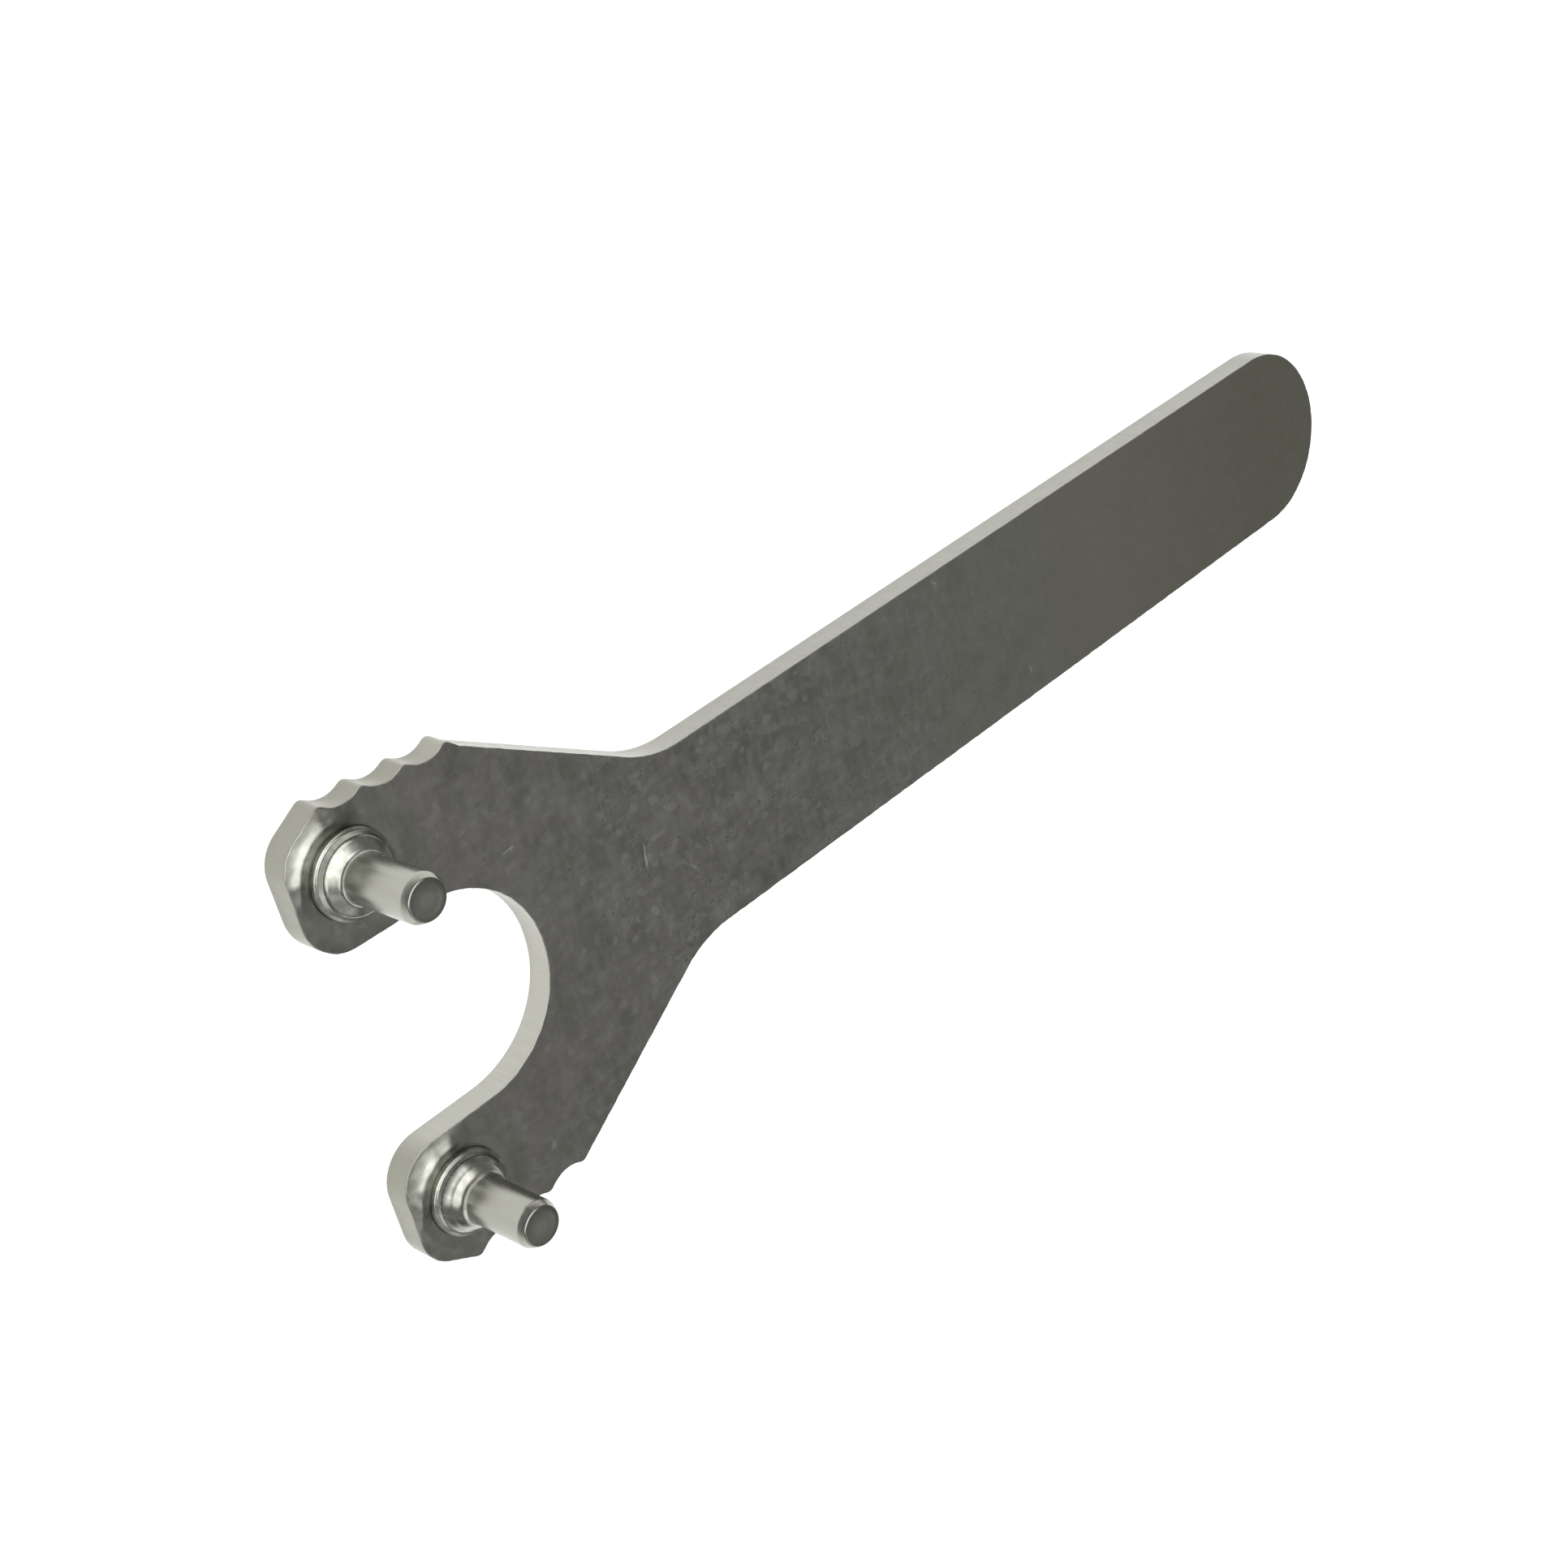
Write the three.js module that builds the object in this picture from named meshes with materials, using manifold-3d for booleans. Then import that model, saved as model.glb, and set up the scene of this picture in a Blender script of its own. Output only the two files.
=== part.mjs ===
// Two-pin face spanner: a flat forked plate with a turned pin staked into the tip of each arm.
// Millimetres, +Z up. The plate lies on its back face at z = 0 and the pins stand up along +Z.
// +X runs from the fork to the handle's round end, and the tool is symmetric about y = 0.
// The origin is on the resting plane, under the middle of the tool's bounding box.

import * as THREE from 'three';
import { mergeVertices } from 'three/addons/utils/BufferGeometryUtils.js';
import Module from 'manifold-3d';

// ---- Driving dimensions ----

const PIN_SPACING = 35;
const PIN_DIAMETER = 4.7;
const PIN_REACH = 11;
const PLATE_THICKNESS = 3;

// Along X, measured from the line through the two pins.
const TIP_X = -6.15;
const GAP_END_X = 16.1;
const FORK_CORNER_X = 33.9;
const HANDLE_END_X = 142.5;

// Across Y, measured from the axis of symmetry.
const GAP_HALF_WIDTH = 10.6;
const HANDLE_HALF_WIDTH = 10.25;
const TIP_CORNER_Y = 21.85;

// Rounding radii of the outline's corners.
const TIP_INNER_RADIUS = 4.5;
const TIP_OUTER_RADIUS = 4;
const FORK_RADIUS = 12;

// Finger scallops along each arm's outer edge.
const CREST_COUNT = 4;
const FIRST_CREST_X = -0.9;
const FIRST_CREST_Y = 24.75;
const CREST_PITCH_X = 4.6;
const CREST_DROP_Y = 0.46;
const VALLEY_DEPTH = 1.25;
const CREST_RADIUS = 0.8;
const VALLEY_RADIUS = 3.1;

// Slight hollow where the last crest runs out into the fork's straight side.
const HOLLOW_X = 14.3;
const HOLLOW_Y = 22.42;
const HOLLOW_RADIUS = 2;

// Ring of metal raised round each pin where the plate is staked to it. Its rim lies just
// under the face, so no thin edge is left standing there.
const STAKE_INNER_RADIUS = 4.4;
const STAKE_EDGE_HEIGHT = 0.44;
const STAKE_CREST_RADIUS = 5.2;
const STAKE_OUTER_RADIUS = 7.1;
const STAKE_HEIGHT = 0.62;
const STAKE_RIM_DIP = 0.02;

// Pin: a low collar on the plate, a shoulder of two cones that runs out into the shaft, a
// bevelled tip with its last edge broken, and a riveted tail. Heights are from the plate's face.
const COLLAR_RADIUS = 4.25;
const COLLAR_HEIGHT = 0.77;
const COLLAR_BREAK = 0.18;
const STEEP_CONE_RADIUS = 3.93;
const SHALLOW_CONE_RADIUS = 3.64;
const SHALLOW_CONE_HEIGHT = 1.45;
const FLARE_RADIUS = 2.67;
const FLARE_HEIGHT = 2.15;
const SHAFT_START_HEIGHT = 2.85;
const BEVEL_WIDTH = 0.27;
const BEVEL_LENGTH = 0.8;
const TIP_BREAK_WIDTH = 0.43;
const TIP_BREAK_LENGTH = 0.28;
const TAIL_RADIUS = 2.75;
const RIVET_RADIUS = 3.6;
const RIVET_RECESS = 0.1;
const TAIL_CLEARANCE = 0.05;

// Facets.
const ARC_DIVISIONS = 7;
const ROUND_SEGMENTS = 48;
const STAKE_STEPS = 5;
const SAME_POINT = 1e-3;

const PIN_RADIUS = PIN_DIAMETER / 2;
const MIDDLE_X = (TIP_X + HANDLE_END_X) / 2;

// ---- Materials ----

function platedSheet() {
  return new THREE.MeshStandardMaterial({ color: 0x8b8b82, roughness: 0.42, metalness: 1 });
}

function turnedSteel() {
  return new THREE.MeshStandardMaterial({ color: 0xbdbcb2, roughness: 0.28, metalness: 1 });
}

// ---- Solids joined and cut with manifold ----

const wasm = await Module();
wasm.setup();

function toSolid(geometry) {
  const bare = geometry.clone();
  bare.deleteAttribute('normal');
  bare.deleteAttribute('uv');
  const welded = mergeVertices(bare, 1e-4);
  const mesh = new wasm.Mesh({
    numProp: 3,
    vertProperties: new Float32Array(welded.attributes.position.array),
    triVerts: new Uint32Array(welded.index.array),
  });
  return new wasm.Manifold(mesh);
}

function toGeometry(solid) {
  const mesh = solid.getMesh();
  const geometry = new THREE.BufferGeometry();
  geometry.setAttribute('position', new THREE.BufferAttribute(mesh.vertProperties, 3));
  geometry.setIndex(new THREE.BufferAttribute(mesh.triVerts, 1));
  geometry.computeVertexNormals();
  return geometry;
}

// A solid of revolution about Z from a list of [radius, height] points.
function turned(profile) {
  const points = profile.map(([radius, height]) => new THREE.Vector2(radius, height));
  const geometry = new THREE.LatheGeometry(points, ROUND_SEGMENTS);
  geometry.rotateX(Math.PI / 2);
  return geometry;
}

// ---- Outline ----

// A closed shape through corners { x, y, r }, each rounded by an arc of radius r.
function roundedOutline(corners) {
  const shape = new THREE.Shape();
  corners.forEach((corner, index) => {
    const at = new THREE.Vector2(corner.x, corner.y);
    const before = corners[(index + corners.length - 1) % corners.length];
    const after = corners[(index + 1) % corners.length];
    const toBefore = new THREE.Vector2(before.x, before.y).sub(at).normalize();
    const toAfter = new THREE.Vector2(after.x, after.y).sub(at).normalize();
    const halfAngle = Math.acos(toBefore.dot(toAfter)) / 2;
    const bisector = toBefore.clone().add(toAfter).normalize();
    const centre = at.clone().addScaledVector(bisector, corner.r / Math.sin(halfAngle));
    const reach = corner.r / Math.tan(halfAngle);
    const start = at.clone().addScaledVector(toBefore, reach).sub(centre);
    const end = at.clone().addScaledVector(toAfter, reach).sub(centre);
    const clockwise = toBefore.cross(toAfter) > 0;
    shape.absarc(centre.x, centre.y, corner.r, start.angle(), end.angle(), clockwise);
  });
  return shape;
}

// Crest and valley corners along an arm, from the tip towards the handle.
function scallopCorners() {
  const corners = [];
  for (let i = 0; i < CREST_COUNT; i += 1) {
    const x = FIRST_CREST_X + i * CREST_PITCH_X;
    const y = FIRST_CREST_Y - i * CREST_DROP_Y;
    corners.push({ x, y, r: CREST_RADIUS });
    if (i < CREST_COUNT - 1) {
      corners.push({
        x: x + CREST_PITCH_X / 2,
        y: y - CREST_DROP_Y / 2 - VALLEY_DEPTH,
        r: VALLEY_RADIUS,
      });
    }
  }
  return corners;
}

function plateOutline() {
  const arm = [
    { x: GAP_END_X, y: GAP_HALF_WIDTH, r: GAP_HALF_WIDTH },
    { x: TIP_X, y: GAP_HALF_WIDTH, r: TIP_INNER_RADIUS },
    { x: TIP_X, y: TIP_CORNER_Y, r: TIP_OUTER_RADIUS },
    ...scallopCorners(),
    { x: HOLLOW_X, y: HOLLOW_Y, r: HOLLOW_RADIUS },
    { x: FORK_CORNER_X, y: HANDLE_HALF_WIDTH, r: FORK_RADIUS },
    { x: HANDLE_END_X, y: HANDLE_HALF_WIDTH, r: HANDLE_HALF_WIDTH },
  ];
  const otherArm = arm.map(({ x, y, r }) => ({ x, y: -y, r })).reverse();
  return roundedOutline([...arm, ...otherArm]);
}

// Arcs that run into each other share an end point, which is kept once.
function extrudedOutline(depth) {
  const points = plateOutline().getPoints(ARC_DIVISIONS);
  const distinct = points.filter((point, index) => {
    const next = points[(index + 1) % points.length];
    return point.distanceTo(next) > SAME_POINT;
  });
  return new THREE.ExtrudeGeometry(new THREE.Shape(distinct), { depth, bevelEnabled: false });
}

// ---- Plate ----

// The staked ring climbs in a smooth slope to its crest and drops a little towards the collar.
function stakedRing() {
  const foot = PLATE_THICKNESS - STAKE_RIM_DIP;
  const root = PLATE_THICKNESS / 2;
  const profile = [[STAKE_OUTER_RADIUS, root]];
  for (let i = 0; i <= STAKE_STEPS; i += 1) {
    const along = i / STAKE_STEPS;
    const radius = STAKE_OUTER_RADIUS + along * (STAKE_CREST_RADIUS - STAKE_OUTER_RADIUS);
    const rise = STAKE_HEIGHT * (1 - Math.cos(Math.PI * along)) / 2;
    profile.push([radius, foot + rise]);
  }
  profile.push([STAKE_INNER_RADIUS, foot + STAKE_EDGE_HEIGHT]);
  profile.push([STAKE_INNER_RADIUS, root]);
  profile.push(profile[0]);
  return turned(profile);
}

// Everything above the plate's face except the staked rings.
function clearanceAbove(pinPositions) {
  const height = 4 * STAKE_HEIGHT;
  const block = new THREE.BoxGeometry(2 * HANDLE_END_X, 2 * PIN_SPACING, height);
  block.translate(MIDDLE_X, 0, PLATE_THICKNESS + height / 2);
  let clearance = toSolid(block);
  for (const y of pinPositions) {
    clearance = clearance.subtract(toSolid(stakedRing()).translate([0, y, 0]));
  }
  return clearance;
}

// A clear hole for the pin's tail, countersunk from the back for the rivet.
function pinHole() {
  const below = 1;
  const flareAtBack = RIVET_RADIUS + RIVET_RECESS + TAIL_CLEARANCE;
  const boreRadius = TAIL_RADIUS + TAIL_CLEARANCE;
  return turned([
    [0, -below],
    [flareAtBack + below, -below],
    [boreRadius, flareAtBack - boreRadius],
    [boreRadius, PLATE_THICKNESS + below],
    [0, PLATE_THICKNESS + below],
  ]);
}

function spannerPlate(pinPositions) {
  const blank = toSolid(extrudedOutline(PLATE_THICKNESS + 2 * STAKE_HEIGHT));
  let plate = blank.subtract(clearanceAbove(pinPositions));
  for (const y of pinPositions) {
    plate = plate.subtract(toSolid(pinHole()).translate([0, y, 0]));
  }
  const mesh = new THREE.Mesh(toGeometry(plate), platedSheet());
  mesh.name = 'spanner_plate';
  return mesh;
}

// ---- Pins ----

function pinProfile() {
  const face = PLATE_THICKNESS;
  const tip = face + PIN_REACH;
  const bevelTopRadius = PIN_RADIUS - BEVEL_WIDTH;
  return [
    [0, RIVET_RECESS],
    [RIVET_RADIUS, RIVET_RECESS],
    [TAIL_RADIUS, RIVET_RECESS + RIVET_RADIUS - TAIL_RADIUS],
    [TAIL_RADIUS, face],
    [COLLAR_RADIUS, face],
    [COLLAR_RADIUS, face + COLLAR_HEIGHT - COLLAR_BREAK],
    [COLLAR_RADIUS - COLLAR_BREAK, face + COLLAR_HEIGHT],
    [STEEP_CONE_RADIUS, face + COLLAR_HEIGHT],
    [SHALLOW_CONE_RADIUS, face + SHALLOW_CONE_HEIGHT],
    [FLARE_RADIUS, face + FLARE_HEIGHT],
    [PIN_RADIUS, face + SHAFT_START_HEIGHT],
    [PIN_RADIUS, tip - BEVEL_LENGTH],
    [bevelTopRadius, tip - TIP_BREAK_LENGTH],
    [PIN_RADIUS - TIP_BREAK_WIDTH, tip],
    [0, tip],
  ];
}

function spannerPin(name, y) {
  const mesh = new THREE.Mesh(toGeometry(toSolid(turned(pinProfile()))), turnedSteel());
  mesh.name = name;
  mesh.position.y = y;
  return mesh;
}

// ---- Assembly ----

const spanner = new THREE.Group();
const rightPinY = PIN_SPACING / 2;
const leftPinY = -PIN_SPACING / 2;
spanner.add(spannerPlate([rightPinY, leftPinY]));
spanner.add(spannerPin('right_pin', rightPinY));
spanner.add(spannerPin('left_pin', leftPinY));
spanner.position.x = -MIDDLE_X;

export default spanner;
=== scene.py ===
import math

import bmesh
import bpy
import numpy as np
from mathutils import Matrix, Vector, noise
from mathutils.geometry import delaunay_2d_cdt


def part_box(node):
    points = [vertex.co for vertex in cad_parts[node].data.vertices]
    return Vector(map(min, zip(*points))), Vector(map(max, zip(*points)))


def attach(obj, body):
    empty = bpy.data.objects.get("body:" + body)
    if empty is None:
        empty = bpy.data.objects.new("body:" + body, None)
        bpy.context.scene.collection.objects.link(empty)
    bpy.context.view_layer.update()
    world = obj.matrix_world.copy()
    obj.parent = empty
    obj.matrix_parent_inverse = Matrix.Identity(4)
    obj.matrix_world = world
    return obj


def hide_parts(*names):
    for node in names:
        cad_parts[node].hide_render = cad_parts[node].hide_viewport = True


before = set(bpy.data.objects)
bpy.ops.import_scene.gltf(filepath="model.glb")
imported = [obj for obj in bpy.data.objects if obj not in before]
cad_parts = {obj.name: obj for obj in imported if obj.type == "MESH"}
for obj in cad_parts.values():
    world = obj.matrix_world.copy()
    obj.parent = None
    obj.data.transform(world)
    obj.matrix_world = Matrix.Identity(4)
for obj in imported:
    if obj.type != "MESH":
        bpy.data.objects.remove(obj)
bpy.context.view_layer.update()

MM = 0.001
ROOT = "root"

# ---------------------------------------------------------------------------
# Places and sizes from the frame, in millimetres
# ---------------------------------------------------------------------------


def box_mm(node):
    low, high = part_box(node)
    return np.array(low) / MM, np.array(high) / MM


plate_low, plate_high = box_mm("spanner_plate")
right_low, right_high = box_mm("right_pin")
left_low, left_high = box_mm("left_pin")

PIN_X = (right_low[0] + right_high[0]) / 2
PIN_Y = (right_high[1] + right_low[1] - left_high[1] - left_low[1]) / 4
PIN_TIP_Z = right_high[2]
TIP_X = plate_low[0]
HANDLE_END_X = plate_high[0]

# Shape of the plate, in millimetres. The fork's places are counted from the line through the pins.
THICKNESS = 3.0
GAP_END = PIN_X + 16.1
GAP_HALF_WIDTH = 10.6
# The gap opens a little towards the tip of the arm on the +Y side.
RIGHT_ARM_INNER_Y = 10.95
# The last crest on the +Y side stands a little proud of the others.
RIGHT_LAST_CREST_RISE = 0.32
HANDLE_HALF_WIDTH = 10.25
FORK_CORNER = PIN_X + 33.9
FORK_RADIUS = 12.0
TIP_CORNER_Y = 21.85
TIP_INNER_RADIUS = 4.5
TIP_OUTER_RADIUS = 4.0
CREST_COUNT = 4
FIRST_CREST = (PIN_X - 0.9, 24.75)
CREST_STEP = (4.6, -0.46)
VALLEY_DEPTH = 1.25
CREST_RADIUS = 0.8
VALLEY_RADIUS = 3.1
# Slight hollow where the last crest runs out into the fork's straight side.
SHOULDER_HOLLOW = (PIN_X + 14.3, 22.42)
SHOULDER_RADIUS = 2.0
# The seat is the plate's own metal, raised in a ring round each pin.
SEAT_INNER_RADIUS = 4.75
SEAT_CREST_RADIUS = 5.45
SEAT_OUTER_RADIUS = 7.25
SEAT_HEIGHT = 0.62
SEAT_HOLLOW = 1.5
SEAT_INNER_DROP = 0.3
SEAT_UNEVEN = 0.12
SEAT_UNEVEN_CELL = 1.3
# It is forced up most towards one bearing on the side of the arm's tip, in full within the first
# angle from that bearing, and hardly at all beyond the second. All are in degrees.
SEAT_HIGH_SIDE = 128
SEAT_HIGH_SPREAD = (34, 62)
SEAT_SPREAD_EASE = 0.3
SEAT_LEAST_SHARE = 0.12
BORE_RADIUS = 2.8
COUNTERSINK_RADIUS = 3.75
# The punched face sags and swells by this much, in waves about this long.
FACE_SAG = 0.012
FACE_SAG_CELL = 9

# ---------------------------------------------------------------------------
# Mesh helpers
# ---------------------------------------------------------------------------


def smooth_noise(x, y, z=0.0):
    """Seedless noise from about -1 to 1 at a point in noise cells; far-off z are separate patterns."""
    return noise.noise(Vector((x, y, z)))


def ring_faces(lower, upper):
    """Quads between two closed rings of vertex numbers of one length."""
    count = len(lower)
    faces = []
    for i in range(count):
        j = (i + 1) % count
        faces.append((lower[i], lower[j], upper[j], upper[i]))
    return faces


def mesh_object(name, points_mm, faces, slots=None, materials=()):
    """A smooth-shaded object from points in millimetres; slots holds each face's material number."""
    mesh = bpy.data.meshes.new(name)
    mesh.from_pydata([Vector(p) * MM for p in points_mm], [], faces)
    for material in materials:
        mesh.materials.append(material)
    if slots is not None:
        mesh.polygons.foreach_set("material_index", slots)
    mesh.polygons.foreach_set("use_smooth", [True] * len(mesh.polygons))
    mesh.update()
    shape = bmesh.new()
    shape.from_mesh(mesh)
    bmesh.ops.recalc_face_normals(shape, faces=shape.faces)
    shape.to_mesh(mesh)
    shape.free()
    obj = bpy.data.objects.new(name, mesh)
    bpy.context.scene.collection.objects.link(obj)
    return obj


# ---------------------------------------------------------------------------
# Plate outline
# ---------------------------------------------------------------------------

# Distance between neighbouring points on the outline, in millimetres.
ARC_STEP = 0.28
STRAIGHT_STEP = 0.4
LEAST_STEP = 1e-4


def arm_corners(inner_y, last_crest_rise):
    """Corners (x, y, rounding radius) of one half, from the gap's end round to the handle's end."""
    # Where the gap opens towards the tip, a slightly smaller radius still fits its round end.
    gap_radius = GAP_HALF_WIDTH - 0.5 * (inner_y - GAP_HALF_WIDTH)
    corners = [
        (GAP_END, GAP_HALF_WIDTH, gap_radius),
        (TIP_X, inner_y, TIP_INNER_RADIUS),
        (TIP_X, TIP_CORNER_Y, TIP_OUTER_RADIUS),
    ]
    for i in range(CREST_COUNT):
        x = FIRST_CREST[0] + i * CREST_STEP[0]
        y = FIRST_CREST[1] + i * CREST_STEP[1]
        last = i == CREST_COUNT - 1
        corners.append((x, y + last_crest_rise if last else y, CREST_RADIUS))
        if not last:
            valley_y = y + CREST_STEP[1] / 2 - VALLEY_DEPTH
            corners.append((x + CREST_STEP[0] / 2, valley_y, VALLEY_RADIUS))
    corners.append((*SHOULDER_HOLLOW, SHOULDER_RADIUS))
    corners.append((FORK_CORNER, HANDLE_HALF_WIDTH, FORK_RADIUS))
    corners.append((HANDLE_END_X, HANDLE_HALF_WIDTH, HANDLE_HALF_WIDTH))
    return corners


def corner_arc(before, corner, after):
    """Points along the arc that rounds one corner."""
    at = np.array(corner[:2])
    to_before = np.array(before[:2]) - at
    to_after = np.array(after[:2]) - at
    to_before /= np.linalg.norm(to_before)
    to_after /= np.linalg.norm(to_after)
    radius = corner[2]
    half_angle = math.acos(np.clip(to_before @ to_after, -1, 1)) / 2
    bisector = (to_before + to_after) / np.linalg.norm(to_before + to_after)
    centre = at + bisector * radius / math.sin(half_angle)
    reach = radius / math.tan(half_angle)
    start = at + to_before * reach - centre
    end = at + to_after * reach - centre
    first = math.atan2(start[1], start[0])
    turn = math.atan2(end[1], end[0]) - first
    turn = (turn + math.pi) % (2 * math.pi) - math.pi
    count = max(5, round(abs(turn) * radius / ARC_STEP))
    angles = first + turn * np.arange(count + 1) / count
    return centre + radius * np.column_stack([np.cos(angles), np.sin(angles)])


def plate_outline():
    """The closed outline, evenly fine on arcs and coarser on straights."""
    right_arm = arm_corners(RIGHT_ARM_INNER_Y, RIGHT_LAST_CREST_RISE)
    left_arm = arm_corners(GAP_HALF_WIDTH, 0.0)
    corners = right_arm + [(x, -y, r) for x, y, r in reversed(left_arm)]
    arcs = []
    for i, corner in enumerate(corners):
        after = corners[(i + 1) % len(corners)]
        arcs.append(corner_arc(corners[i - 1], corner, after))
    points = []
    for i, arc in enumerate(arcs):
        points.extend(arc)
        gap = arcs[(i + 1) % len(arcs)][0] - arc[-1]
        pieces = max(1, round(np.linalg.norm(gap) / STRAIGHT_STEP))
        points.extend(arc[-1] + gap * k / pieces for k in range(1, pieces))
    points = np.array(points)
    distinct = np.linalg.norm(points - np.roll(points, 1, axis=0), axis=1) > LEAST_STEP
    return points[distinct]


def outward_normals(points):
    """Unit normals of a closed outline at its points, pointing away from the inside."""
    along = np.roll(points, -1, axis=0) - np.roll(points, 1, axis=0)
    along /= np.linalg.norm(along, axis=1)[:, None]
    normals = np.column_stack([along[:, 1], -along[:, 0]])
    area = np.sum(points[:, 0] * np.roll(points[:, 1], -1) - points[:, 1] * np.roll(points[:, 0], -1))
    return normals if area > 0 else -normals


def inside(polygon, points):
    """Which points lie inside a closed polygon, by counting crossings."""
    result = np.zeros(len(points), bool)
    nxt = np.roll(polygon, -1, axis=0)
    for (x0, y0), (x1, y1) in zip(polygon, nxt):
        crosses = (y0 > points[:, 1]) != (y1 > points[:, 1])
        if y1 != y0:
            at_x = x0 + (points[:, 1] - y0) * (x1 - x0) / (y1 - y0)
            result ^= crosses & (points[:, 0] < at_x)
    return result


def distance_to(polygon, points):
    """Distance from each point to the polygon's nearest edge."""
    best = np.full(len(points), np.inf)
    nxt = np.roll(polygon, -1, axis=0)
    for a, b in zip(polygon, nxt):
        ab = b - a
        t = np.clip(((points - a) @ ab) / (ab @ ab), 0, 1)
        best = np.minimum(best, np.linalg.norm(points - a - t[:, None] * ab, axis=1))
    return best


# ---------------------------------------------------------------------------
# Plate surface
# ---------------------------------------------------------------------------

PIN_CENTRES = (np.array([PIN_X, PIN_Y]), np.array([PIN_X, -PIN_Y]))


def eased(share, ease=0.16):
    """A straight ramp from 0 to 1 with both of its ends rounded off."""
    share = min(max(share, 0.0), 1.0)
    if share < ease:
        return share**2 / (2 * ease * (1 - ease))
    if share > 1 - ease:
        return 1 - (1 - share) ** 2 / (2 * ease * (1 - ease))
    return (share - ease / 2) / (1 - ease)


def seat_rise(x, y):
    """Height of the seat raised round each pin above the plate's face."""
    centre = min(PIN_CENTRES, key=lambda c: math.hypot(x - c[0], y - c[1]))
    radius = math.hypot(x - centre[0], y - centre[1])
    bearing = math.degrees(math.atan2(y - centre[1], x - centre[0]))
    away = abs((bearing - SEAT_HIGH_SIDE + 180) % 360 - 180)
    near, far = SEAT_HIGH_SPREAD
    high = eased((far - away) / (far - near), SEAT_SPREAD_EASE)
    share = SEAT_LEAST_SHARE + (1 - SEAT_LEAST_SHARE) * high
    if radius > SEAT_CREST_RADIUS:
        climb = (SEAT_OUTER_RADIUS - radius) / (SEAT_OUTER_RADIUS - SEAT_CREST_RADIUS)
        profile = max(climb, 0.0) ** SEAT_HOLLOW
    else:
        fall = (SEAT_CREST_RADIUS - radius) / (SEAT_CREST_RADIUS - SEAT_INNER_RADIUS)
        profile = 1 - SEAT_INNER_DROP * min(fall, 1.0)
    hammered = smooth_noise(x / SEAT_UNEVEN_CELL, y / SEAT_UNEVEN_CELL, 8.0)
    worked = SEAT_UNEVEN * hammered * min(profile * 2, 1.0)
    return share * (SEAT_HEIGHT * profile + worked)


# Dents in the face: (x from the pin line, y, radius, depth), millimetres. Burrs have a depth below zero.
DENTS = (
    (30.0, 1.6, 0.55, 0.09),
    (10.0, -19.4, 0.5, 0.08),
    (86.2, -6.9, 0.4, 0.05),
    (74.6, 9.0, 0.45, 0.06),
    (19.3, 14.4, 0.6, 0.04),
    (48.0, 3.5, 0.5, 0.04),
    (55.5, -4.2, 0.45, 0.035),
    (27.0, -9.0, 0.5, 0.04),
    (63.0, 5.8, 0.4, 0.03),
    (110.0, 2.0, 0.4, 0.03),
    (15.8, 10.8, 0.35, 0.05),
    (75.6, 7.5, 0.3, 0.05),
    (18.7, 14.1, 0.5, 0.05),
    (74.4, 9.4, 0.3, 0.05),
    (-4.44, 23.07, 0.2, -0.1),
    (-6.09, 17.54, 0.18, -0.1),
)


def dent_depth(x, y):
    """Depth at a point of all the dents there; each fades out within three of its radii."""
    depth = 0.0
    for dent_x, dent_y, radius, deepest in DENTS:
        squared = ((x - PIN_X - dent_x) ** 2 + (y - dent_y) ** 2) / radius**2
        if squared < 9:
            depth += deepest * math.exp(-squared)
    return depth


def face_height(x, y):
    """Height of the plate's front face."""
    sag = FACE_SAG * smooth_noise(x / FACE_SAG_CELL, y / FACE_SAG_CELL, 3.0)
    return THICKNESS + seat_rise(x, y) + sag - dent_depth(x, y)


# Front edge left sharp by the punch: (inset, drop) from the outline and the face.
FRONT_EDGE = ((0.3, 0.0), (0.14, 0.001), (0.06, 0.006), (0.022, 0.022), (0.005, 0.05), (0.0, 0.1))
# Back edge drawn in by the punch: (inset, height).
BACK_EDGE = ((0.0, 0.14), (0.008, 0.085), (0.026, 0.045), (0.055, 0.017), (0.1, 0.004), (0.2, 0.0))
WALL_LEVELS = 8
# How far the punched edge strays from its outline, and how deep its wall is torn, in millimetres.
EDGE_WANDER = 0.035
WALL_TEAR = 0.012
# Cells for each millimetre of the edge's coarse and fine unevenness and of its wall's tearing.
EDGE_COARSE_CELLS = 0.9
EDGE_FINE_CELLS = 1.9
WALL_TEAR_CELLS = 1.3
# How much each unevenness widens or narrows the front edge's rounding.
EDGE_UNEVEN = 0.3
# How many rings of each edge, counted from the wall, have the wall's material.
FRONT_RINGS_ON_WALL = 3
BACK_RINGS_ON_WALL = 2


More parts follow.
